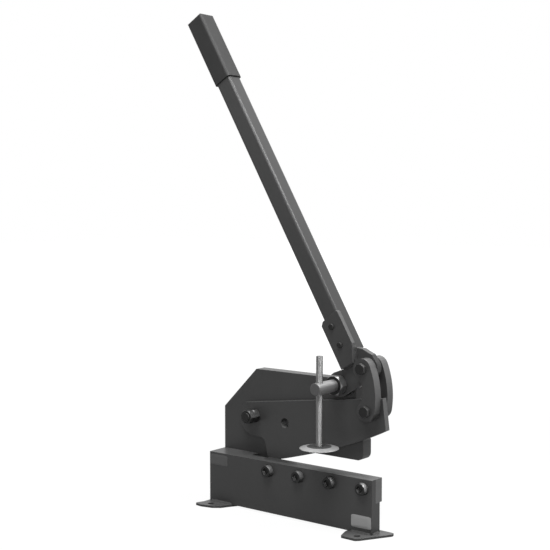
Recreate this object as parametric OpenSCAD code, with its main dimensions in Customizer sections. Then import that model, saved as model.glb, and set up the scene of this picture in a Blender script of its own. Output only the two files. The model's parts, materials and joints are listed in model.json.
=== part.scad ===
// Bench lever shear: a plate frame on two feet, a fixed lower blade, a pivoting blade arm that two
// crescent links pull down, a long hand lever, and a screw hold-down in front of the blades.
// The origin is midway between the two front bench holes, at the underside of the feet. +X runs
// along the blades to the open end of the throat, +Y to the back and +Z up. The shear stands open.

/* [Base] */
// Length of the base plate along the blades
base_l = 371; // [330:1:420]
// Height of the base plate
base_h = 95; // [85:1:110]
// Thickness of the base plate
base_t = 25; // [20:1:32]
// How far the back of the lower blade stands behind the base plate
blade_stand = 6.5; // [4:0.5:9]
// Thickness of the two feet
foot_t = 4; // [3.5:0.5:10]
// Distance of the front bench holes from the base plate's front face
bench_reach = 18; // [15:1:20]
// Distance of the front bench holes from the ends of the base plate
bench_inset = 18; // [15:1:22]
// Diameter of the bench holes
bench_hole_d = 12; // [8:0.5:14]

/* [Back plate] */
// Thickness of the back plate
back_t = 25; // [20:1:30]
// Height of its long top edge above the underside of the base plate
back_h = 256; // [250:1:270]
// Size of the cut-off corner at its top left
back_corner = 79; // [40:1:95]
// Width of the column under the blade arm's pivot
column_w = 112; // [105:1:116]
// Height of the throat above the base plate's top edge
throat_h = 19; // [14:1:24]
// Length from the left end to the nose of the overhanging arm
nose_reach = 323; // [318:1:324]
// Height of the nose
nose_h = 36; // [30:1:40]
// Radius of the nose's lower corner
nose_r = 12; // [6:1:16]
// Length from the left end to the recessed edge that clears the rear link
link_recess_reach = 307; // [305:1:308]
// Radius of the lobe round the lever's pivot
pivot_lobe_r = 24; // [21:1:27]
// Distance of the spacer block between the two plates from the lower blade
spacer_gap = 37; // [33:1:60]

/* [Lower blade] */
// Length of the lower blade
blade_l = 250; // [230:1:256]
// Height of the lower blade
blade_h = 42; // [36:1:50]
// Thickness of the lower blade
blade_t = 19; // [14:0.5:22]
// Number of screws that hold it
screw_count = 4; // [2:1:5]
// Distance of the first screw from the blade's inner end
screw_inset = 23; // [20:1:32]
// Distance of the last screw from the blade's outer end
screw_end_inset = 19; // [12:1:32]
// Depth of the screws below the blade's cutting edge
screw_drop = 16.5; // [14:0.5:24]
// Diameter of the screw heads
screw_head_d = 22; // [18:1:26]
// How far the screw heads stand proud
screw_proud = 10; // [3:0.5:12]
// Diameter of the screws
screw_d = 14; // [10:1:16]

/* [Blade arm] */
// Thickness of the blade arm
arm_t = 12; // [10:0.5:15]
// Distance of its pivot from the left end of the base plate
arm_pivot_x = 85.5; // [80:0.5:90]
// Height of its pivot above the underside of the base plate
arm_pivot_z = 170; // [166:0.5:174]
// Reach of the arm beyond its pivot
arm_reach = 291; // [284:0.5:294]
// Height of the arm's straight top edge above the pivot
arm_top = 25; // [22:0.5:27]
// Angle at which the arm stands open
arm_open = 7.4; // [6:0.1:9]
// Radius of the round back end
arm_tail_r = 37; // [32:0.5:40]
// Depth of the cutting edge below the pivot at the inner end
edge_heel_drop = 86; // [82:0.5:90]
// Depth of the cutting edge below the pivot at the outer end
edge_toe_drop = 31; // [27:0.5:34]
// Diameter of the pivot pin
arm_pin_d = 20; // [16:0.5:24]
// Diameter of the hole that cuts round bar
bar_hole_d = 18; // [12:0.5:22]
// Distance of that hole in front of the pivot
bar_hole_reach = 70.5; // [60:0.5:80]
// Depth of that hole below the pivot
bar_hole_drop = 15.7; // [8:0.1:20]

/* [Links] */
// Thickness of each link
link_t = 18; // [12:0.5:20]
// Radius of the links' ends
link_end_r = 18; // [16:0.5:20]
// How far the links bow outwards at the middle
link_bow = 23.3; // [20:0.1:26]
// How far the hollow inner side comes in at the middle
link_hollow = 1.5; // [0.5:0.1:4]
// Distance of the lower pin in front of the blade arm's pivot
low_pin_reach = 265.4; // [262:0.1:268]
// Height of the lower pin above that pivot
low_pin_rise = 5.4; // [3:0.1:7]
// Thickness of the spacer rings in front of the rear link
link_spacer_t = 8; // [2:0.5:10]
// Diameter of the link bolts
link_bolt_d = 12; // [10:1:18]

/* [Lever] */
// Distance of the lever's pivot from the left end of the base plate
lever_pivot_x = 279; // [276:0.5:281]
// Height of the lever's pivot above the underside of the base plate
lever_pivot_z = 248; // [247:0.5:252]
// Lean of the open lever to the left
lever_lean = 30.3; // [26:0.1:32]
// Distance from the pivot to the upper link pin
crank_r = 70; // [68:0.5:71]
// Distance from the pivot to the middle of the handle
handle_offset = 43.5; // [41:0.5:46]
// Distance from the pivot to the tip of the grip
lever_l = 757; // [500:1:900]
// Outer width of the square tube
tube_w = 35; // [25:1:37]
// Wall of the square tube
tube_wall = 3; // [2:0.5:4]
// Height of the tube's lower end above the pivot
tube_start = 42; // [40:1:48]
// Radius of the head plate round the pivot
head_hub_r = 23; // [20:0.5:27]
// Radius of the head plate round the upper link pin
head_pin_r = 21; // [18:0.5:23]
// Width of the strap on the front of the handle
strap_w = 44; // [40:1:50]
// Thickness of the strap
strap_t = 9; // [6:0.5:10]
// Height of the strap's lower edge above the pivot
strap_start = 19; // [18:0.5:24]
// Height of the strap's upper edge above the pivot
strap_end = 115; // [110:1:130]
// Length of the grip
grip_l = 142; // [100:1:200]
// Outer width of the grip
grip_w = 40; // [38.5:0.5:45]
// Diameter of the two handle bolts
handle_bolt_d = 6; // [5:1:10]
// Height of the lower handle bolt above the pivot
handle_bolt_low = 58; // [54:1:64]
// Height of the upper handle bolt above the pivot
handle_bolt_high = 94; // [80:1:100]

/* [Hold-down] */
// Diameter of the bar that carries the screw
bar_d = 22; // [18:0.5:24]
// Reach of the bar in front of the blades
bar_reach = 71.4; // [66:0.1:80]
// Distance of the screw from the bar's front end
screw_from_end = 13; // [10:0.5:16]
// Diameter of the hold-down screw
spindle_d = 12; // [8:0.5:14]
// Length of the hold-down screw
spindle_l = 162; // [155:1:175]
// Height of the pressure pad above the base plate
pad_gap = 48; // [40:1:50]
// Diameter of the pressure pad
pad_d = 69; // [50:1:76]
// Thickness of the pressure pad
pad_t = 4; // [3:0.5:8]

/* [Hidden] */

// Fineness of round pieces, clearances and the overrun of cuts
round_fn = 64;
arc_steps = 12;
face_gap = 0.3;
run_gap = 0.05;
hole_gap = 0.25;
cut = 1;

// Layers from front to back
base_y = bench_reach;
shear_y = base_y + base_t + blade_stand;
arm_y = shear_y + face_gap;
back_y = arm_y + arm_t + face_gap;
back_end = back_y + back_t;
near_link_y = shear_y - link_t;
far_link_y = back_y + link_spacer_t;

// Levels and places along the base
left_x = -base_l / 2;
right_x = base_l / 2;
base_z = foot_t;
base_top = base_z + base_h;
throat_z = base_top + throat_h;
blade_x = right_x - blade_l;
spacer_l = base_l - blade_l - spacer_gap;
spacer_x = left_x + spacer_l;
pad_z = base_top + pad_gap;

// The blade arm's pivot, the lever's pivot and the two link pins
arm_pivot = [left_x + arm_pivot_x, base_z + arm_pivot_z];
lever_pivot = [left_x + lever_pivot_x, base_z + lever_pivot_z];
upper_pin = lever_pivot + crank_r * [cos(lever_lean), sin(lever_lean)];
lower_pin = arm_pivot + turned([low_pin_reach, low_pin_rise], arm_open);
bar_hole = arm_pivot + turned([bar_hole_reach, -bar_hole_drop], arm_open);
link_l = norm(upper_pin - lower_pin);
link_lean = atan2(lower_pin[0] - upper_pin[0], upper_pin[1] - lower_pin[1]);

// Hexagons and nuts as shares of the thread's diameter
hex_share = 1.5;
nut_share = 0.8;
head_share = 0.64;
chamfer_share = 0.08;
link_turn = 30;

// Feet: corners as shares of the reach in front and of the length under the base
foot_reach = 34;
foot_l = 58;
foot_corner_r = 4;

// Slot in the blade arm round the lower link bolt, which takes up the links' swing
slot_play_x = 14.6;
slot_play_z = 1.6;
slot_l = link_bolt_d + slot_play_x;
slot_h = link_bolt_d + slot_play_z;

tube_r = 6;
grip_r = 6;
grip_wall = 3;
grip_edge = 1.5;
corner_steps = 5;
strap_r = 3;
strap_lap = 2;
strap_slant = 5;
strap_cut_rise = 31;
strap_cut_w = 16;
arm_corner = 13;
arm_heel_x = 22;
arm_heel_share = 0.8;
arm_neck_drop = 42;
edge_toe = [arm_reach, -edge_toe_drop];
edge_heel = [arm_heel_x, -edge_heel_drop];
edge_crown_shares = [0.35, 0.64];
edge_run = edge_heel - edge_toe;
edge_crown = edge_toe + [edge_crown_shares[0] * edge_run[0], edge_crown_shares[1] * edge_run[1]];
head_neck_angle = 70;
head_crown_shares = [[1.28, 0.38], [1.2, 0.55], [1.1, 0.79], [0.92, 1]];
frame_screw_d = 14;
frame_screw_shares = [[0.28, 0.24], [0.28, 0.74], [0.76, 0.24], [0.76, 0.74]];
pad_edge = 0.8;
spindle_tip = 1;
bar_edge = 1;

screw_seat = 8.5;
frame_thread_l = 16;
frame_screw_l = back_end - base_y - base_t + frame_thread_l;
throat_r = 8;
screw_end_gap = 1;
socket_share = 0.86;
socket_depth_share = 0.3;
pivot_thread_d = 16;
pivot_end = 2;
handle_hex_share = 1.6;

// Lengths along Y and up the handle that follow from the layers
seat_y = shear_y - blade_t;
screw_pitch = (blade_l - screw_inset - screw_end_inset) / (screw_count - 1);
screw_sink = seat_y - base_y - screw_seat;
screw_shank_l = blade_t + screw_seat - screw_end_gap;
pivot_nut_t = pivot_thread_d * nut_share;
pivot_stack = 2 * pivot_nut_t + face_gap;
bar_front = shear_y - bar_reach;
spindle_y = bar_front + screw_from_end;
rear_nut_t = bar_d * nut_share;
bar_end = back_end + rear_nut_t + pivot_end;
strap_y = arm_y - strap_t;
tube_end = lever_l - grip_wall;
handle_bolt_rises = [handle_bolt_low, handle_bolt_high];
strap_left = handle_offset - tube_w / 2 - strap_lap;
handle_bolt_l = strap_t + tube_w + handle_bolt_d * (nut_share + 0.25);
link_bolt_l = far_link_y + link_t - near_link_y + link_bolt_d * (nut_share + 0.15);

// Bench holes, and the feet's corners as shares of their reach and length
rear_hole_y = back_end + bench_reach * 0.6;
left_holes = [[left_x + bench_inset, 0], [left_x + bench_inset, rear_hole_y]];
right_holes = [[right_x - bench_inset, 0]];
left_foot_shares = [[-0.16, -0.88], [-0.1, -0.99], [0.14, -1.03], [0.55, -0.88], [0.78, -0.58],
                    [0.9, -0.15], [1.05, 0.3], [1.05, 3.0], [-0.05, 3.0], [-0.05, -0.42]];
right_foot_shares = [[-0.87, 0.0], [-0.86, -0.24], [-0.72, -0.97], [-0.2, -0.99], [-0.1, -0.8], [0.42, 0.8],
                     [0.4, 1.05], [0.2, 1.07], [-0.87, 1.07]];

// A vector in the XZ plane turned up by an angle
function turned(v, a) = [v[0] * cos(a) - v[1] * sin(a), v[0] * sin(a) + v[1] * cos(a)];

// Points on an arc about c, from angle a0 to angle a1
function arc(c, r, a0, a1, steps = arc_steps) =
    [for (i = [0:steps]) let (a = a0 + (a1 - a0) * i / steps) [c[0] + r * cos(a), c[1] + r * sin(a)]];

// A smooth curve from p to q that is drawn towards c
function curve(p, c, q, steps = arc_steps) =
    [for (i = [0:steps]) let (s = i / steps) (1 - s) * (1 - s) * p + 2 * s * (1 - s) * c + s * s * q];

// A plate with its outline in the XZ plane, from y0 backwards
module plate(y0, t, points) {
    translate([0, y0 + t, 0]) rotate([90, 0, 0]) linear_extrude(t) polygon(points);
}

// A round bar along Y about a point of the XZ plane
module bar_y(centre, y0, l, d) {
    translate([centre[0], y0, centre[1]]) rotate([-90, 0, 0]) cylinder(d = d, h = l, $fn = round_fn);
}

// A hexagon along +Z with both ends chamfered, its flats to the sides
module hexagon(af, t) {
    intersection() {
        cylinder(d = af / cos(30), h = t, $fn = 6);
        rotate_extrude($fn = round_fn)
            polygon([[0, 0], [af / 2, 0], [af / 2 / cos(30), t * chamfer_share * 2],
                     [af / 2 / cos(30), t * (1 - chamfer_share * 2)], [af / 2, t], [0, t]]);
    }
}

// Places children at a point of the XZ plane with their +Z axis along +Y or -Y
module facing_back(centre, y) {
    translate([centre[0], y, centre[1]]) rotate([-90, 0, 0]) children();
}

module facing_front(centre, y) {
    translate([centre[0], y, centre[1]]) rotate([90, 0, 0]) children();
}

// A nut that starts at y and runs backwards, turned about its own axis
module nut(centre, y, d, turn = 0) {
    difference() {
        facing_back(centre, y) rotate(turn) hexagon(d * hex_share, d * nut_share);
        bar_y(centre, y - cut, d * nut_share + 2 * cut, d);
    }
}

// A hexagon bolt whose head lies in front of y and whose shank runs l backwards
module bolt_back(centre, y, d, l, turn = 0) {
    facing_front(centre, y) rotate(turn) hexagon(d * hex_share, d * head_share);
    bar_y(centre, y, l, d);
}

// The lever's own frame: X from its pivot across to the link pin, Z up the handle
module in_lever() {
    translate([lever_pivot[0], 0, lever_pivot[1]]) rotate([0, -lever_lean, 0]) children();
}

// The blade arm's own frame: X from its pivot along the straight top edge
module in_arm() {
    translate([arm_pivot[0], 0, arm_pivot[1]]) rotate([0, -arm_open, 0]) children();
}

// The links' own frame: the upper pin at the origin and the lower pin on -Z
module in_link() {
    translate([upper_pin[0], 0, upper_pin[1]]) rotate([0, -link_lean, 0]) children();
}

// The base

module base_plate() {
    color("dimgray") difference() {
        plate(base_y, base_t,
              [[left_x, base_z], [right_x, base_z], [right_x, base_top], [left_x, base_top]]);
        blade_seat();
        for (i = [0:screw_count - 1]) {
            bar_y(screw_place(i), base_y - cut, base_t + 2 * cut, screw_d + 2 * hole_gap);
            bar_y(screw_place(i), base_y - cut, cut + screw_sink, screw_head_d + 2 * hole_gap);
        }
        for (place = frame_screw_places)
            bar_y(place, base_y + base_t - frame_thread_l, frame_thread_l + cut, frame_screw_d);
    }
}

// Rebate in the back of the base that holds the lower blade
module blade_seat() {
    translate([blade_x, seat_y, base_top - blade_h]) cube([blade_l + cut, blade_t, blade_h + cut]);
}

function screw_place(i) = [blade_x + screw_inset + i * screw_pitch, base_top - screw_drop];

// Screws through the column, spread over the spacer block
frame_screw_places = [for (s = frame_screw_shares) [left_x + s[0] * spacer_l, base_z + s[1] * base_h]];

module spacer_block() {
    color("dimgray") difference() {
        plate(base_y + base_t, back_y - base_y - base_t,
              [[left_x, base_z], [spacer_x, base_z], [spacer_x, base_top], [left_x, base_top]]);
        blade_seat();
        for (place = frame_screw_places)
            bar_y(place, base_y, back_y - base_y + cut, frame_screw_d + 2 * hole_gap);
    }
}

// The back plate: a column, an arm over the throat with a nose, and a lobe round the lever's pivot
module back_plate() {
    color("dimgray") difference() {
        plate(back_y, back_t, back_outline());
        bar_y(arm_pivot, back_y - cut, back_t + 2 * cut, arm_pin_d + 2 * hole_gap);
        bar_y(lever_pivot, back_y - cut, back_t + 2 * cut, bar_d + 2 * hole_gap);
        bar_y(bar_hole, back_y - cut, back_t + 2 * cut, bar_hole_d);
        for (place = frame_screw_places)
            bar_y(place, back_y - cut, back_t + 2 * cut, frame_screw_d + 2 * hole_gap);
    }
}

function back_outline() =
    let (top = base_z + back_h, inner = left_x + column_w, nose = left_x + nose_reach,
         recess = left_x + link_recess_reach, step = nose - recess, rise = top - lever_pivot[1],
         lobe_left = 180 - asin(rise / pivot_lobe_r))
    concat([[left_x, base_z], [inner, base_z]],
           arc([inner + throat_r, throat_z - throat_r], throat_r, 180, 90),
           arc([nose - nose_r, throat_z + nose_r], nose_r, 270, 360),
           [[nose, throat_z + nose_h], [recess, throat_z + nose_h + step]],
           [[recess, lever_pivot[1]]],
           arc(lever_pivot, pivot_lobe_r, 0, lobe_left),
           [[left_x + back_corner, top], [left_x, top - back_corner]]);

// The feet: flat plates welded under both ends, with tapered ears in front and at the outer end
module left_foot() {
    color("dimgray")
        foot([for (s = left_foot_shares) [left_x + s[0] * foot_l, base_y + s[1] * foot_reach]],
             left_holes);
}

module right_foot() {
    color("dimgray")
        foot([for (s = right_foot_shares) [right_x + s[0] * foot_l, base_y + s[1] * foot_reach]],
             right_holes);
}

module foot(points, holes) {
    difference() {
        linear_extrude(foot_t) offset(r = foot_corner_r) offset(delta = -foot_corner_r) polygon(points);
        for (h = holes) translate([h[0], h[1], -cut])
            cylinder(d = bench_hole_d, h = foot_t + 2 * cut, $fn = round_fn);
    }
}

// The lower blade
module lower_blade() {
    color("silver") difference() {
        translate([blade_x, seat_y, base_top - blade_h]) cube([blade_l, blade_t, blade_h]);
        for (i = [0:screw_count - 1]) bar_y(screw_place(i), seat_y - cut, blade_t + 2 * cut, screw_d);
    }
}

module blade_screws() {
    color("dimgray") for (i = [0:screw_count - 1]) difference() {
        union() {
            bar_y(screw_place(i), base_y - screw_proud, screw_proud + screw_sink, screw_head_d);
            bar_y(screw_place(i), base_y + screw_sink, screw_shank_l, screw_d);
        }
        facing_back(screw_place(i), base_y - screw_proud - cut)
            cylinder(d = screw_d * socket_share / cos(30), h = cut + screw_head_d * socket_depth_share,
                     $fn = 6);
    }
}

module frame_screws() {
    color("dimgray") for (place = frame_screw_places) {
        facing_back(place, back_end) hexagon(frame_screw_d * hex_share, frame_screw_d * head_share);
        bar_y(place, base_y + base_t - frame_thread_l, frame_screw_l, frame_screw_d);
    }
}

// The blade arm's pivot: a shouldered bolt from the back with two nuts in front
module arm_pivot_bolt() {
    color("dimgray") {
        bar_y(arm_pivot, shear_y, back_end - shear_y, arm_pin_d);
        facing_back(arm_pivot, back_end) hexagon(arm_pin_d * hex_share, arm_pin_d * head_share);
        bar_y(arm_pivot, shear_y - pivot_stack - pivot_end, pivot_stack + pivot_end, pivot_thread_d);
    }
}

module arm_pivot_nuts() {
    color("dimgray") for (i = [0:1])
        nut(arm_pivot, shear_y - pivot_nut_t - i * (pivot_nut_t + face_gap), pivot_thread_d);
}

// The hold-down bar, which is also the lever's pivot
module holddown_bar() {
    color("lightgray") difference() {
        union() {
            facing_back(lever_pivot, bar_front)
                cylinder(d1 = bar_d - 2 * bar_edge, d2 = bar_d, h = bar_edge, $fn = round_fn);
            bar_y(lever_pivot, bar_front + bar_edge, bar_end - bar_front - bar_edge, bar_d);
        }
        translate([lever_pivot[0], spindle_y, lever_pivot[1] - bar_d])
            cylinder(d = spindle_d + 2 * run_gap, h = 2 * bar_d, $fn = round_fn);
    }
}

module hub_nut() {
    color("dimgray") nut(lever_pivot, shear_y - bar_d * nut_share, bar_d);
}

module bar_rear_nut() {
    color("dimgray") nut(lever_pivot, back_end, bar_d);
}

// The blade arm
module blade_arm() {
    color("dimgray") difference() {
        in_arm() plate(arm_y, arm_t, arm_outline());
        bar_y(arm_pivot, arm_y - cut, arm_t + 2 * cut, arm_pin_d + 2 * run_gap);
        bar_y(bar_hole, arm_y - cut, arm_t + 2 * cut, bar_hole_d);
        in_arm() pin_slot();
    }
}

// Round back end, straight top, blunt outer end, and a bowed cutting edge along the bottom
function arm_outline() =
    concat([[-arm_tail_r + arm_corner * 1.3, arm_top], [arm_reach, arm_top]],
           curve(edge_toe, edge_crown, edge_heel),
           [[arm_heel_x * arm_heel_share, -arm_neck_drop - arm_corner / 2],
            [arm_heel_x / 2, -arm_neck_drop]],
           arc([0, 0], arm_tail_r + (arm_neck_drop - arm_tail_r) / 2, 262, 215),
           [[-arm_tail_r, -arm_tail_r * 0.4], [-arm_tail_r, arm_tail_r * 0.4]]);

module pin_slot() {
    for (side = [-1, 1])
        translate([low_pin_reach + side * (slot_l - slot_h) / 2, arm_y - cut, low_pin_rise])
            rotate([-90, 0, 0]) cylinder(d = slot_h, h = arm_t + 2 * cut, $fn = round_fn);
    translate([low_pin_reach - (slot_l - slot_h) / 2, arm_y - cut, low_pin_rise - slot_h / 2])
        cube([slot_l - slot_h, arm_t + 2 * cut, slot_h]);
}

// The lever
module lever_head() {
    color("dimgray") difference() {
        in_lever() plate(arm_y, arm_t, head_outline());
        bar_y(lever_pivot, arm_y - cut, arm_t + 2 * cut, bar_d + 2 * run_gap);
        bar_y(upper_pin, arm_y - cut, arm_t + 2 * cut, link_bolt_d + 2 * run_gap);
    }
}

// Two round lobes, a straight underside, and a shank that the handle stands on
function head_outline() =
    let (lean = asin((head_hub_r - head_pin_r) / crank_r))
    concat(arc([0, 0], head_hub_r, head_neck_angle, 270 + lean),
           arc([crank_r, 0], head_pin_r, 270 + lean, 370),
           [for (s = head_crown_shares) [s[0] * crank_r, s[1] * tube_start]],
           [[strap_left, tube_start], [strap_left, strap_start]]);

module lever_strap() {
    color("dimgray") difference() {
        in_lever() plate(strap_y, strap_t, strap_outline());
        for (a = handle_bolt_rises)
            bar_y(handle_place(a), strap_y - cut, strap_t + 2 * cut, handle_bolt_d + 2 * hole_gap);
    }
}

function strap_outline() =
    let (x0 = strap_left, x1 = strap_left + strap_w)
    [[x0, strap_start], [x1 - strap_cut_w, strap_start], [x1, strap_start + strap_cut_rise],
     [x1, strap_end - strap_r], [x1 - strap_r, strap_end], [x0 + 2 * strap_r, strap_end - strap_slant],
     [x0, strap_end - strap_slant - 2 * strap_r]];

function handle_place(a) = lever_pivot + turned([handle_offset, a], lever_lean);

// Square outline with round corners, centred on the handle's axis
function round_square(w, r) =
    let (k = w / 2 - r)
    [for (i = [0:3]) let (s = [[1, 1], [-1, 1], [-1, -1], [1, -1]][i])
        each arc(k * s, r, 90 * i, 90 * i + 90, corner_steps)];

module square_bar(w, r, z0, z1) {
    translate([handle_offset, arm_y + tube_w / 2, z0]) linear_extrude(z1 - z0) polygon(round_square(w, r));
}

module handle_tube() {
    color("dimgray") difference() {
        in_lever() difference() {
            square_bar(tube_w, tube_r, tube_start, tube_end);
            square_bar(tube_w - 2 * tube_wall, tube_r - tube_wall / 2, tube_start - cut, tube_end + cut);
        }
        for (a = handle_bolt_rises)
            bar_y(handle_place(a), arm_y - cut, tube_w + 2 * cut, handle_bolt_d + 2 * hole_gap);
    }
}

// The grip slips over the tube; its closed end is chamfered on all four sides
module grip() {
    color("black") in_lever() difference() {
        intersection() {
            square_bar(grip_w, grip_r, lever_l - grip_l, lever_l);
            translate([handle_offset, arm_y + tube_w / 2, 0]) grip_side();
            translate([handle_offset, arm_y + tube_w / 2, 0]) rotate([0, 0, 90]) grip_side();
        }
        square_bar(tube_w, tube_r, lever_l - grip_l - cut, tube_end);
    }
}

// The grip's side view with the corners of its closed end cut off
module grip_side() {
    plate(-grip_w / 2, grip_w,
          [[-grip_w / 2, lever_l - grip_l], [grip_w / 2, lever_l - grip_l],
           [grip_w / 2, lever_l - grip_edge], [grip_w / 2 - grip_edge, lever_l],
           [grip_edge - grip_w / 2, lever_l], [-grip_w / 2, lever_l - grip_edge]]);
}

module handle_bolts() {
    color("dimgray") for (a = handle_bolt_rises) in_lever() translate([handle_offset, 0, a]) {
        translate([0, strap_y, 0]) rotate([90, 0, 0])
            hexagon(handle_bolt_d * handle_hex_share, handle_bolt_d * head_share);
        translate([0, strap_y, 0]) rotate([-90, 0, 0])
            cylinder(d = handle_bolt_d, h = handle_bolt_l, $fn = round_fn);
    }
}

module handle_nuts() {
    color("dimgray") for (a = handle_bolt_rises)
        in_lever() translate([handle_offset, arm_y + tube_w, a]) rotate([-90, 0, 0]) difference() {
            hexagon(handle_bolt_d * handle_hex_share, handle_bolt_d * nut_share);
            translate([0, 0, -cut])
                cylinder(d = handle_bolt_d, h = handle_bolt_d + 2 * cut, $fn = round_fn);
        }
}

// The links
module link(y) {
    difference() {
        in_link() plate(y, link_t, link_outline());
        for (pin = [upper_pin, lower_pin])
            bar_y(pin, y - cut, link_t + 2 * cut, link_bolt_d + 2 * hole_gap);
    }
}

// A crescent: round ends, a bowed outer side and a hollow inner side, all tangent to each other
function link_outline() =
    let (h = link_l / 2,
         outer_k = link_bow - link_end_r,
         outer_c = (outer_k * outer_k - h * h) / (2 * outer_k),
         outer_r = link_bow - outer_c,
         outer_a = atan2(h, -outer_c),
         inner_k = link_end_r - link_hollow,
         inner_c = (inner_k * inner_k - h * h) / (2 * inner_k),
         inner_r = -link_hollow - inner_c,
         inner_a = atan2(h, -inner_c))
    concat(arc([outer_c, -h], outer_r, -outer_a, outer_a),
           arc([0, 0], link_end_r, outer_a, 180 + inner_a),
           arc([inner_c, -h], inner_r, inner_a, -inner_a),
           arc([0, -link_l], link_end_r, 180 - inner_a, 360 - outer_a));

module near_link() {
    color("dimgray") link(near_link_y);
}

module far_link() {
    color("dimgray") link(far_link_y);
}

module upper_link_bolt() {
    color("dimgray") bolt_back(upper_pin, near_link_y, link_bolt_d, link_bolt_l, link_turn);
}

module upper_link_nut() {
    color("dimgray") nut(upper_pin, far_link_y + link_t, link_bolt_d, link_turn);
}

module lower_link_bolt() {
    color("dimgray") bolt_back(lower_pin, near_link_y, link_bolt_d, link_bolt_l, link_turn);
}

module lower_link_nut() {
    color("dimgray") nut(lower_pin, far_link_y + link_t, link_bolt_d, link_turn);
}

module link_spacers() {
    color("dimgray") for (pin = [upper_pin, lower_pin]) difference() {
        bar_y(pin, back_y, link_spacer_t, 2 * link_end_r - link_spacer_t);
        bar_y(pin, back_y - cut, link_spacer_t + 2 * cut, link_bolt_d);
    }
}

// The hold-down screw and its pressure pad
module spindle() {
    color("lightgray") translate([lever_pivot[0], spindle_y, pad_z + pad_t]) {
        cylinder(d = spindle_d, h = spindle_l - pad_t - spindle_tip, $fn = round_fn);
        translate([0, 0, spindle_l - pad_t - spindle_tip])
            cylinder(d1 = spindle_d, d2 = spindle_d - 2 * spindle_tip, h = spindle_tip, $fn = round_fn);
    }
}

module pressure_pad() {
    color("lightgray") translate([lever_pivot[0], spindle_y, pad_z]) rotate_extrude($fn = round_fn)
        polygon([[0, 0], [pad_d / 2 - pad_edge, 0], [pad_d / 2, pad_edge], [pad_d / 2, pad_t - pad_edge],
                 [pad_d / 2 - pad_edge, pad_t], [0, pad_t]]);
}

base_plate();
spacer_block();
back_plate();
left_foot();
right_foot();
lower_blade();
blade_screws();
frame_screws();
arm_pivot_bolt();
arm_pivot_nuts();
holddown_bar();
hub_nut();
bar_rear_nut();
blade_arm();
lever_head();
lever_strap();
handle_tube();
grip();
handle_bolts();
handle_nuts();
near_link();
far_link();
upper_link_bolt();
upper_link_nut();
lower_link_bolt();
lower_link_nut();
link_spacers();
spindle();
pressure_pad();
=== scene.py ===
"""Finishes and small parts of a bench lever shear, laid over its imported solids."""
import json
import math

import bmesh
import bpy
import numpy as np
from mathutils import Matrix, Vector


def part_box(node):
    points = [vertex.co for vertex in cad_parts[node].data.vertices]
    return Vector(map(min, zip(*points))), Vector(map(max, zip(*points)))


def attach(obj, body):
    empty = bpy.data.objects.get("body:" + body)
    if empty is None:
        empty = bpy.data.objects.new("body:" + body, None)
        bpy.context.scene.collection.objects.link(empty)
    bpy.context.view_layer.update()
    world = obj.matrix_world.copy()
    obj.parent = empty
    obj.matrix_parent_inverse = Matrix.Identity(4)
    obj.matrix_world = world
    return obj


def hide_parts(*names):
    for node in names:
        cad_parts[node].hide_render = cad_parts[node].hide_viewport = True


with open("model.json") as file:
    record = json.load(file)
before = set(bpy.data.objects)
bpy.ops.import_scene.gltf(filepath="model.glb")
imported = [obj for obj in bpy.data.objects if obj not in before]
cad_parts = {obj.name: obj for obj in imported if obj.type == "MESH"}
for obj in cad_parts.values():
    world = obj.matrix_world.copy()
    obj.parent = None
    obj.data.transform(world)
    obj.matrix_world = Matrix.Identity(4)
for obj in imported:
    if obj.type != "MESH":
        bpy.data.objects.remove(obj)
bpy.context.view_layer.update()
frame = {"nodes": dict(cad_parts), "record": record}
MM = 0.001
TAU = 2 * math.pi
UP = (0, 0, 1)
FRONT = (0, -1, 0)
UP_RIGHT = (0.8, 0, 0.6)


# Shader maths


class Field:
    """One socket of a node tree. Plus and times, with a field or a number, and a number less a field, add
    Math nodes."""

    def __init__(self, nodes, socket):
        self.nodes = nodes
        self.socket = socket

    def __add__(self, other):
        return self.nodes.math("ADD", self, other)

    def __mul__(self, other):
        return self.nodes.math("MULTIPLY", self, other)

    def __rsub__(self, other):
        return self.nodes.math("SUBTRACT", other, self)

    __radd__ = __add__
    __rmul__ = __mul__

    def between(self, low, high, at_low=0.0, at_high=1.0):
        """at_low where the field is below low, at_high where it is above high, smooth between."""
        values = {"Value": self, "From Min": low, "From Max": high, "To Min": at_low, "To Max": at_high}
        return self.nodes.node("MapRange", {"interpolation_type": "SMOOTHSTEP"}, values)


class Nodes:
    """A node tree under construction."""

    def __init__(self, tree):
        self.tree = tree

    def put(self, socket, value):
        """Links a field to a socket, or sets a plain value on it."""
        if isinstance(value, Field):
            self.tree.links.new(value.socket, socket)
        else:
            socket.default_value = value

    def node(self, kind, settings=None, values=None, output=0):
        """Adds a node of a kind, with its settings first and then its sockets' values or links."""
        made = self.tree.nodes.new("ShaderNode" + kind)
        for key, value in (settings or {}).items():
            setattr(made, key, value)
        for key, value in (values or {}).items():
            self.put(made.inputs[key], value)
        return Field(self, made.outputs[output])

    def math(self, operation, first, second):
        return self.node("Math", {"operation": operation}, {0: first, 1: second})

    def ray(self, kind):
        """1 for rays of a kind, such as Camera or Glossy, and 0 for all others."""
        return self.node("LightPath", output=f"Is {kind} Ray")


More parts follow.
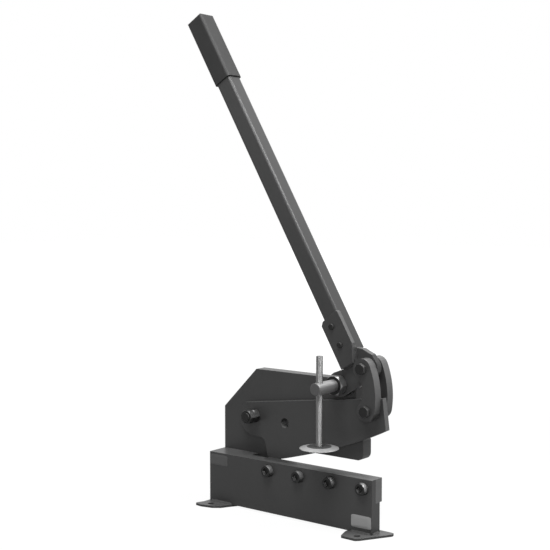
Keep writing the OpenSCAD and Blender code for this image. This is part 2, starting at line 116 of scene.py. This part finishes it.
class Finish(Nodes):
    """A material under construction."""

    def __init__(self, name):
        self.material = bpy.data.materials.new(name)
        self.material.use_nodes = True
        super().__init__(self.material.node_tree)
        self.shader = self.tree.nodes["Principled BSDF"]
        self.place = self.node("TexCoord", output="Object")

    def set(self, **sockets):
        """Sets sockets of the shader, with an underscore for each blank in their names."""
        for key, value in sockets.items():
            self.put(self.shader.inputs[key.replace("_", " ")], value)

    def noise(self, scale, detail=3.0, stretch=None):
        """Fractal noise from 0 to 1 at a scale per metre, stretched by a vector if one is given."""
        place = self.place
        if stretch:
            place = self.node("Mapping", None, {"Vector": place, "Scale": stretch})
        values = {"Vector": place, "Scale": scale, "Detail": detail, "Roughness": 0.55}
        return self.node("TexNoise", None, values)

    def mix(self, factor, a, b):
        """Colour a where the factor is 0 and colour b where it is 1."""
        return self.node("Mix", {"data_type": "RGBA"}, {0: factor, 6: a, 7: b}, output=2)

    def round_edges(self, radius):
        """The surface normal with each sharp edge rounded to a radius."""
        return self.node("Bevel", {"samples": 6}, {"Radius": radius})

    def normal_dot(self, other):
        """The dot product of the surface normal and another vector."""
        normal = self.node("NewGeometry", output="Normal")
        return self.node("VectorMath", {"operation": "DOT_PRODUCT"}, {0: normal, 1: other}, output="Value")

    def edge_mask(self, rounded):
        """1 along rounded edges and 0 on flat faces: one less the dot product of the rounded normal."""
        return (1 - self.normal_dot(rounded)).between(0.01, 0.16)

    def facing(self, way, low=0.9, high=0.97):
        """1 on faces that look along a unit vector and 0 on faces that look elsewhere: it rises while the
        dot product with the normal goes from low to high."""
        return self.normal_dot(way).between(low, high)

    def bump(self, height, distance, strength, normal=None):
        """The normal over a height field that stands out by a distance, on a rounded normal if given."""
        values = {"Height": height, "Distance": distance, "Strength": strength}
        if normal:
            values["Normal"] = normal
        return self.node("Bump", None, values)


def grey(value):
    """An opaque neutral grey."""
    return (value, value, value, 1)


# Finishes


def anthracite_paint(name="anthracite_paint", painted_side_light=0.0):
    """Satin powder coat: fine orange peel, faint clouding, edges where the coat thins, and tops lighter,
    part a film of grime and part painted top light. Given a share, faces that look up to the right get a
    painted highlight too."""
    thin_coat = grey(0.11)
    dust_and_painted_top_light_grey = grey(0.11)
    painted_side_light_grey = grey(0.2)
    f = Finish(name)
    rounded = f.round_edges(0.9 * MM)
    clouds = f.noise(14, 4)
    peel = f.noise(1400, 2)
    worn = f.edge_mask(rounded) * f.noise(190).between(0.35, 0.7)
    # Faces that look up are lighter: part a film of grime, part painted top light.
    dust_and_painted_top_light = f.facing(UP, 0.75, 0.95) * (0.55 + 0.35 * f.noise(40, 4))
    colour = f.mix(dust_and_painted_top_light, f.mix(clouds, grey(0.034), grey(0.046)), dust_and_painted_top_light_grey)
    if painted_side_light:
        # Painted highlight: faces that look up to the right are lightened by the given share, as if lit
        # from the upper right.
        colour = f.mix(f.facing(UP_RIGHT, 0.55, 0.95) * painted_side_light, colour, painted_side_light_grey)
    f.set(Base_Color=f.mix(worn * 0.5, colour, thin_coat), Roughness=0.32 + clouds * 0.08,
          Normal=f.bump(peel, 0.05 * MM, 0.5, rounded), Specular_IOR_Level=0.42)
    return f.material


def black_fasteners(name="black_fasteners", painted_flank_light=0.2, shaded_front_low=0.9):
    """Black oxide on steel, worn to bare metal at the corners. Painted shade makes the faces in front
    darkest, from a given low of the dot product on, and a painted highlight lifts the upper right sides to
    a given grey."""
    painted_front_shade = grey(0.022)
    bare = grey(0.3)
    f = Finish(name)
    rounded = f.round_edges(0.5 * MM)
    patches = f.noise(160)
    coat = f.mix(patches, grey(0.028), grey(0.05))
    # Painted highlight on the upper right sides.
    colour = f.mix(f.facing(UP_RIGHT, 0.5, 0.95) * (0.3 + 0.6 * patches), coat, grey(painted_flank_light))
    # Painted shade on the faces in front.
    colour = f.mix(f.facing(FRONT, shaded_front_low, shaded_front_low + 0.08), colour, painted_front_shade)
    f.set(Base_Color=f.mix(f.edge_mask(rounded) * 0.5, colour, bare), Metallic=0.6,
          Roughness=0.34 + patches * 0.16, Normal=f.bump(f.noise(2600, 1), 0.02 * MM, 0.4, rounded))
    return f.material


def blade_steel():
    """Hardened tool steel, ground along the blade: fine scratches along X and bright worn edges."""
    f = Finish("blade_steel")
    rounded = f.round_edges(0.4 * MM)
    grain = f.noise(900, stretch=(0.03, 1, 1))
    steel = f.mix(f.noise(22), grey(0.13), grey(0.19))
    f.set(Base_Color=f.mix(f.edge_mask(rounded) * 0.7, steel, grey(0.5)), Metallic=0.8,
          Roughness=0.3 + grain * 0.16, Normal=f.bump(grain, 0.03 * MM, 0.5, rounded))
    return f.material


def bright_steel(name, stretch, light, polish, end=None):
    """Bright drawn or turned steel with fine scratches along one way. Faces that look towards a given end
    are darkened as painted shade."""
    painted_end_shade = grey(0.15)
    f = Finish(name)
    rounded = f.round_edges(0.4 * MM)
    grain = f.noise(700, 2, stretch)
    colour = f.mix(f.noise(60), grey(light * 0.8), grey(light))
    if end:
        # Painted shade: faces towards the end are darkened.
        colour = f.mix(f.facing(end, 0.45, 0.65), colour, painted_end_shade)
    f.set(Base_Color=colour, Metallic=1.0, Roughness=polish + grain * 0.14,
          Normal=f.bump(grain, 0.01 * MM, 0.3, rounded))
    return f.material


def zinc_plate(name, light, painted_shade_facing, dark, low=0.9, high=0.97, metal=0.9):
    """Zinc plate of low gloss: fine speckle and soft patches. The faces that look along the given way,
    within low and high as for facing, are darkened to the dark grey as painted shade."""
    f = Finish(name)
    rounded = f.round_edges(0.5 * MM)
    patches = f.noise(110, 4)
    zinc = f.mix(patches, grey(light * 0.8), grey(light))
    # Painted shade on the faces that look along the given way.
    f.set(Base_Color=f.mix(f.facing(painted_shade_facing, low, high), zinc, grey(dark)), Metallic=metal,
          Roughness=0.4 + patches * 0.12, Normal=f.bump(f.noise(2400, 1), 0.015 * MM, 0.4, rounded))
    return f.material


def black_grip():
    """Dipped black plastic: soft sheen with a fine pebbled skin."""
    f = Finish("black_grip")
    rounded = f.round_edges(1.4 * MM)
    pebbles = f.node("TexVoronoi", {"feature": "SMOOTH_F1"}, {"Vector": f.place, "Scale": 900.0})
    f.set(Base_Color=f.mix(f.noise(30), grey(0.018), grey(0.028)), Roughness=0.5 + f.noise(70) * 0.14,
          Normal=f.bump(pebbles, 0.06 * MM, 0.5, rounded), Specular_IOR_Level=0.38)
    return f.material


def bare_plate(name, light):
    """A blank metal plate with a satin grain along X."""
    f = Finish(name)
    grain = f.noise(1500, 2, (0.04, 1, 1))
    f.set(Base_Color=f.mix(grain, grey(light * 0.85), grey(light)), Metallic=0.35,
          Roughness=0.42 + grain * 0.1, Normal=f.bump(grain, 0.01 * MM, 0.4))
    return f.material


def painted_weld():
    """The anthracite coat over a weld's ripples, duller than on the plates."""
    f = Finish("painted_weld")
    f.set(Base_Color=f.mix(f.noise(300), grey(0.03), grey(0.045)), Roughness=0.6 + f.noise(500) * 0.15,
          Normal=f.bump(f.noise(900), 0.03 * MM, 0.4))
    return f.material


paint = anthracite_paint()
# Paint with a painted highlight on the faces that look up to the right.
paint_with_painted_side_light = anthracite_paint("anthracite_paint_cut_edge", painted_side_light=0.42)
oxide = black_fasteners()
# Screw heads: a brighter painted highlight on the upper right, and painted shade over more of the front.
oxide_heads = black_fasteners("black_screw_heads", painted_flank_light=0.5, shaded_front_low=0.5)
blade = blade_steel()
# The bar's front end face gets painted shade.
bar_bright = bright_steel("bright_bar", stretch=(1, 0.04, 1), light=0.52, polish=0.42, end=FRONT)
rod_bright = bright_steel("bright_rod", stretch=(1, 1, 0.3), light=0.27, polish=0.38)
# Pad top and nut front are darkened as painted shade.
pad_bright = zinc_plate("bright_pad", light=0.62, painted_shade_facing=UP, dark=0.12, low=0.982, high=0.995, metal=0.7)
nut_bright = zinc_plate("bright_nut", light=0.32, painted_shade_facing=FRONT, dark=0.03)
grip_black = black_grip()
weld_paint = painted_weld()

SLOTS = {"anthracite_paint": paint, "black_fasteners": oxide, "blade_steel": blade,
         "bright_steel": bar_bright, "black_grip": grip_black}
slot_of = {part["node"]: part["material_slot"] for part in frame["record"]["subparts"]}
for name, node in frame["nodes"].items():
    node.data.materials.clear()
    node.data.materials.append(SLOTS[slot_of[name]])
frame["nodes"]["hub_nut"].data.materials[0] = nut_bright
# Strap, arm and links get the painted highlight on their upper right sides.
for name in ("lever_strap", "blade_arm", "near_link", "far_link"):
    frame["nodes"][name].data.materials[0] = paint_with_painted_side_light


# Surfaces


def ring(count):
    """Angles once round a turn, the last one short of the first."""
    return np.linspace(0, TAU, count, endpoint=False)


def surface(name, points, material, body):
    """A grid of points (rows, columns, 3) as a mesh of quads, its columns joined round: doubled points
    merged, faces turned outwards, smooth but for edges sharper than a crease, and put on a body."""
    crease = math.radians(32)
    rows, columns = points.shape[:2]
    left = np.arange(rows * columns).reshape(rows, columns)
    right = np.roll(left, -1, axis=1)
    faces = np.stack([left[:-1], right[:-1], right[1:], left[1:]], axis=-1).reshape(-1, 4)
    mesh = bpy.data.meshes.new(name)
    mesh.from_pydata(points.reshape(-1, 3).tolist(), [], faces.tolist())
    shape = bmesh.new()
    shape.from_mesh(mesh)
    bmesh.ops.remove_doubles(shape, verts=shape.verts, dist=2e-6)
    bmesh.ops.dissolve_degenerate(shape, edges=shape.edges, dist=1e-7)
    bmesh.ops.recalc_face_normals(shape, faces=shape.faces)
    shape.to_mesh(mesh)
    shape.free()
    mesh.materials.append(material)
    mesh.shade_smooth()
    mesh.set_sharp_from_angle(angle=crease)
    piece = bpy.data.objects.new(name, mesh)
    bpy.context.scene.collection.objects.link(piece)
    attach(piece, body)
    return piece


def turned(centre, r, turn, z):
    """Points round an upright axis through centre, from radii and heights per row and angle."""
    return np.stack([centre[0] + r * np.cos(turn), centre[1] + r * np.sin(turn), z], axis=-1)


def thread_wave(along, turn, pitch):
    """0 at the crests and 1 at the roots of a thread: a triangle wave of the distance less the turn's share
    of a pitch, made steeper and clipped, so that crests and roots are flat."""
    flat = 0.15
    phase = (along / pitch - turn / TAU) % 1.0
    return np.clip(np.abs(phase * 2 - 1) * (1 + 2 * flat) - flat, 0, 1)


def threaded_rod(name, foot, radius, length, pitch):
    """An upright rod whose radius dips by the thread wave and shrinks to that of the roots within a pitch
    of its closed ends."""
    rows_per_pitch = 8
    depth = 0.3 * pitch
    along = np.linspace(0, length, int(length / pitch * rows_per_pitch))
    turn = ring(48)
    chamfer = np.minimum(np.minimum(along, length - along) / pitch, 1)[:, None]
    r = radius - depth * np.maximum(thread_wave(along[:, None], turn[None, :], pitch), 1 - chamfer)
    end_cap = np.zeros((1, len(turn)))
    r = np.vstack([end_cap, r, end_cap])
    z = foot[2] + np.concatenate([[0], along, [length]])[:, None] + 0 * r
    return surface(name, turned(foot, r, turn, z), rod_bright, "hold_down")


def coned_pad(name, centre, foot, crown, radius):
    """A turned pad: flat foot, short wall, and a straight cone up to a flat top of 0.62 of the radius."""
    flat = 0.62
    wall_top = foot + 1 * MM
    rows = [(0.0, foot), (0.97, foot), (1.0, foot + 0.4 * MM), (1.0, wall_top), (0.99, wall_top + 0.1 * MM)]
    rows += [(k, crown - (crown - wall_top) * (k - flat) / (1 - flat)) for k in (0.98, 0.64, flat)]
    rows += [(0.6, crown), (0.0, crown)]
    turn = ring(96)
    r, z = np.array(rows).T[:, :, None] + 0 * turn
    return surface(name, turned(centre, radius * r, turn, z), pad_bright, "hold_down")


def cap_screw(name, centre, head_r, head_l, socket_af):
    """A socket head from outside in: knurled wall, chamfer, flat rim, and a six-sided socket with a coned
    floor. The wall's radius is the head's less a knurl of rectified sines; the socket's is the hexagon's
    polar form. centre lies in the front face, and each row is a radius and a depth behind that face."""
    knurl_depth = 0.35 * MM
    neck_step = 0.4 * MM
    socket_chamfer = 0.5 * MM
    ribs = 36
    turn = ring(144)
    wall = head_r - knurl_depth * np.abs(np.sin(turn * ribs / 2))
    plain = np.full_like(turn, head_r)
    neck = plain - neck_step
    hexagon = socket_af / 2 / np.cos((turn % (TAU / 6)) - TAU / 12)
    rows = [(neck, head_l), (neck, head_l * 0.86), (wall, head_l * 0.84), (wall, head_l * 0.2),
            (neck, head_l * 0.17), (neck, head_l * 0.1), (plain * 0.93, head_l * 0.03), (plain * 0.88, 0),
            (hexagon * 1.06, 0), (hexagon, socket_chamfer), (hexagon, head_l * 0.45),
            (hexagon * 0.9, head_l * 0.46), (hexagon * 0.03, head_l * 0.56), (hexagon * 0, head_l * 0.56)]
    r = np.array([row[0] for row in rows])
    y = centre[1] + np.array([row[1] for row in rows])[:, None] + 0 * r
    points = np.stack([centre[0] + r * np.cos(turn), y, centre[2] + r * np.sin(turn)], axis=-1)
    return surface(name, points, oxide_heads, "frame")


def weld_bead(name, start, end, out_a, out_b, size, body):
    """A fillet bead from start to end in the corner between two faces, which look along out_a and out_b: a
    flattened quarter round, rippled and wandering along its length and rounded off at its ends."""
    row_length = 0.55 * MM
    ripple_pitch = 1.9 * MM
    wander_pitch = 13 * MM
    flattening = 0.22
    start, end = np.array(start, float), np.array(end, float)
    length = np.linalg.norm(end - start)
    s = np.linspace(0, 1, max(24, int(length / row_length)))
    ends = np.clip(np.minimum(s, 1 - s) * length / size, 0, 1) ** 0.5
    ripple = 0.07 * np.sin(s * length / ripple_pitch * TAU)
    wander = 0.05 * np.sin(s * length / wander_pitch * TAU + 1)
    turn = np.linspace(0, math.pi / 2, 9)
    r = size * ((1 + ripple + wander) * ends)[:, None] * (1 - flattening * np.sin(2 * turn)[None, :])
    corner = (start + np.multiply.outer(s, end - start))[:, None, :]
    across = np.multiply.outer(r * np.cos(turn), out_a) + np.multiply.outer(r * np.sin(turn), out_b)
    points = np.concatenate([corner, corner + across], axis=1)
    return surface(name, points, weld_paint, body)


def blank_plate(name, x_range, z_range, y, thick, material):
    """A thin plate on a front face at y: a rounded rectangle, made from a power of the cosine and the sine,
    whose rows run from its rim at the back to its middle, each a share of its size and of its thickness."""
    turn = ring(64)
    corner_power = 0.22
    across, up = (np.sign(wave) * np.abs(wave) ** corner_power for wave in (np.cos(turn), np.sin(turn)))
    (x0, x1), (z0, z1) = x_range, z_range
    points = []
    for share, height in ((1.0, 0.0), (1.0, 0.75), (0.985, 1.0), (0.5, 1.0), (0.0, 1.0)):
        x = (x0 + x1) / 2 + share * (x1 - x0) / 2 * across
        z = (z0 + z1) / 2 + share * (z1 - z0) / 2 * up
        points.append(np.stack([x, np.full_like(turn, y - height * thick), z], axis=-1))
    return surface(name, np.array(points), material, "frame")


def middle(node):
    """The middle of a node's box."""
    low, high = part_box(node)
    return np.array([(a + b) / 2 for a, b in zip(low, high)])


# Hold-down screw and pad

THREAD_PITCH = 1.5 * MM

low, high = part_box("spindle")
screw_foot = middle("spindle") * (1, 1, 0) + np.array([0, 0, low.z])
rod = threaded_rod("threaded_spindle", screw_foot, (high.x - low.x) / 2, high.z - low.z, THREAD_PITCH)
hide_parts("spindle")

low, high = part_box("pressure_pad")
pad = coned_pad("coned_pad", middle("pressure_pad"), low.z, high.z, (high.x - low.x) / 2)
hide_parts("pressure_pad")


# Heads of the blade screws

SCREW_COUNT = 4
SCREW_HEAD_L = 13.6 * MM
SOCKET_AF = 12 * MM

low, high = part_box("blade_screws")
head_r = (high.z - low.z) / 2
screw_pitch = (high.x - low.x - 2 * head_r) / (SCREW_COUNT - 1)
for i in range(SCREW_COUNT):
    place = (low.x + head_r + i * screw_pitch, low.y, (low.z + high.z) / 2)
    head = cap_screw(f"cap_screw_{i + 1}", place, head_r, SCREW_HEAD_L, SOCKET_AF)
    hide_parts("blade_screws")


# Welds between base plate and feet

FOOT_BEAD = 3.2 * MM
LEFT = (-1, 0, 0)
RIGHT = (1, 0, 0)
BACK = (0, 1, 0)

base_low, base_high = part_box("base_plate")
left_foot_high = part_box("left_foot")[1]
right_foot_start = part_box("right_foot")[0].x + 6 * MM
column_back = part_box("back_plate")[1].y
front, back = base_low.y, base_high.y
left_end, right_end = base_low.x, base_high.x
for name, start, end, out in (
        ("weld_left_front", (left_end + 3 * MM, front), (left_foot_high.x - 6 * MM, front), FRONT),
        ("weld_right_front", (right_foot_start, front), (right_end - 2 * MM, front), FRONT),
        ("weld_left_end", (left_end, front + 3 * MM), (left_end, column_back - 3 * MM), LEFT),
        ("weld_right_end", (right_end, front + 3 * MM), (right_end, back - 2 * MM), RIGHT),
        ("weld_right_rear", (right_foot_start, back), (right_end - 2 * MM, back), BACK)):
    weld_bead(name, (*start, left_foot_high.z), (*end, left_foot_high.z), out, UP, FOOT_BEAD, "frame")


# Welds between lever head and strap

HANDLE_LEAN = math.radians(30.3)
STRAP_BEAD = 4 * MM
STRAP_CORNERS = [(25, 19), (52, 19), (66, 46.2)]


def on_lever(across, up):
    """A place on the front of the lever's head, from its distances in mm across and along the handle, both
    from the pivot."""
    pivot = next(j["pos_m"] for j in frame["record"]["behaviour"]["joints"] if j["name"] == "lever_pivot")
    return (pivot[0] + (across * math.cos(HANDLE_LEAN) - up * math.sin(HANDLE_LEAN)) * MM,
            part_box("lever_head")[0].y,
            pivot[2] + (across * math.sin(HANDLE_LEAN) + up * math.cos(HANDLE_LEAN)) * MM)


for name, start, end in (("weld_strap_foot", *STRAP_CORNERS[:2]), ("weld_strap_cut", *STRAP_CORNERS[1:])):
    start, end = np.array(on_lever(*start)), np.array(on_lever(*end))
    way = end - start
    out = np.array([way[2], 0, -way[0]]) / np.linalg.norm(way)
    weld_bead(name, start, end, out, FRONT, STRAP_BEAD, "lever")


# Blank plates on the base plate's front

blank_plate("blank_rating_plate", (143 * MM, 184.5 * MM), (13 * MM, 35 * MM), front, 0.4 * MM,
            bare_plate("bare_plate", 0.34))
blank_plate("blank_corner_strip", (-183.5 * MM, -141 * MM), (75 * MM, 95 * MM), front, 0.3 * MM,
            bare_plate("bare_strip", 0.1))


# Light, floor and camera

FRAME_PIXELS = 550
FOCAL_PIXELS = 1108
EYE = (1219.1 * MM, -1547 * MM, 570 * MM)
EYE_DOWN = math.radians(3.62)
EYE_FROM_RIGHT = math.radians(38.51)
LAMP_AIM = (0, 0.04, 0.3)
LAMPS = (  # name, place and side length in metres, watts
    ("key_top", (0.3, -0.95, 2.75), 1.6, 79),
    ("side_back_right", (1.45, 0.65, 2.5), 0.8, 60),
    ("side_front_right", (1.8, -2.3, 1.3), 0.8, 22),
    ("side_front_left", (-1.8, -2.2, 1.2), 1.6, 6),
    ("rim_back", (0, 2.2, 2.0), 1.6, 4),
)


def camera():
    """The photograph's view: a long lens from the right, a little above the middle."""
    lens = bpy.data.cameras.new("camera")
    lens.sensor_width = 36
    lens.lens = FOCAL_PIXELS / FRAME_PIXELS * lens.sensor_width
    lens.clip_end = 50
    eye = bpy.data.objects.new("camera", lens)
    eye.location = EYE
    eye.rotation_euler = (math.pi / 2 - EYE_DOWN, 0, EYE_FROM_RIGHT)
    bpy.context.scene.collection.objects.link(eye)
    bpy.context.scene.camera = eye


def soft_box(name, place, size, power):
    """A square area lamp at a place, turned towards the shear."""
    lamp = bpy.data.lights.new(name, "AREA")
    lamp.shape = "RECTANGLE"
    lamp.size = lamp.size_y = size
    lamp.energy = power
    box = bpy.data.objects.new(name, lamp)
    way = np.array(LAMP_AIM) - np.array(place)
    box.location = place
    tilt = math.acos(-way[2] / np.linalg.norm(way))
    box.rotation_euler = (tilt, 0, math.atan2(way[1], way[0]) - math.pi / 2)
    bpy.context.scene.collection.objects.link(box)


def white_world():
    """White for the camera, dark in front and brighter behind for reflections, as a room round a white
    sheet is, and a faint grey for the light it gives."""
    world = bpy.data.worlds.new("white_world")
    world.use_nodes = True
    bpy.context.scene.world = world
    nodes = Nodes(world.node_tree)
    way = nodes.node("TexCoord", output="Generated")
    room = nodes.node("SeparateXYZ", None, {"Vector": way}, output="Y").between(-0.7, 0.0, 0.12, 0.75)
    seen = nodes.math("MAXIMUM", nodes.ray("Camera"), nodes.ray("Transmission"))
    level = nodes.math("MAXIMUM", seen, nodes.ray("Glossy") * room)
    ground = nodes.tree.nodes["Background"]
    ground.inputs["Color"].default_value = grey(1.0)
    nodes.put(ground.inputs["Strength"], nodes.node("MapRange", None, {"Value": level, "To Min": 0.05}))


def floor():
    """A wide floor at the feet's underside: white to the camera, darker only where the shear shades it. The
    camera sees 0.8 of its glow near the shear and all of it far off, and reflections see a fifth."""
    size = 12.0
    mesh = bpy.data.meshes.new("floor")
    corners = [(-size, -size, 0), (size, -size, 0), (size, size, 0), (-size, size, 0)]
    mesh.from_pydata(corners, [], [(0, 1, 2, 3)])
    piece = bpy.data.objects.new("floor", mesh)
    bpy.context.scene.collection.objects.link(piece)
    f = Finish("pale_floor")
    f.set(Base_Color=grey(0.3), Roughness=0.9)
    glow = f.node("Emission", None, {"Color": grey(1.0), "Strength": 1.17})
    far = f.node("VectorMath", {"operation": "LENGTH"}, {0: f.place}, output="Value").between(0.9, 3.0)
    seen = (f.ray("Camera") + f.ray("Transmission")) * (0.8 + 0.2 * far) + f.ray("Glossy") * 0.2
    blend = f.node("MixShader", None, {0: seen, 1: Field(f, f.shader.outputs[0]), 2: glow})
    f.put(f.tree.nodes["Material Output"].inputs["Surface"], blend)
    mesh.materials.append(f.material)


camera()
white_world()
floor()
for lamp in LAMPS:
    soft_box(*lamp)
bpy.context.scene.view_settings.view_transform = "Standard"
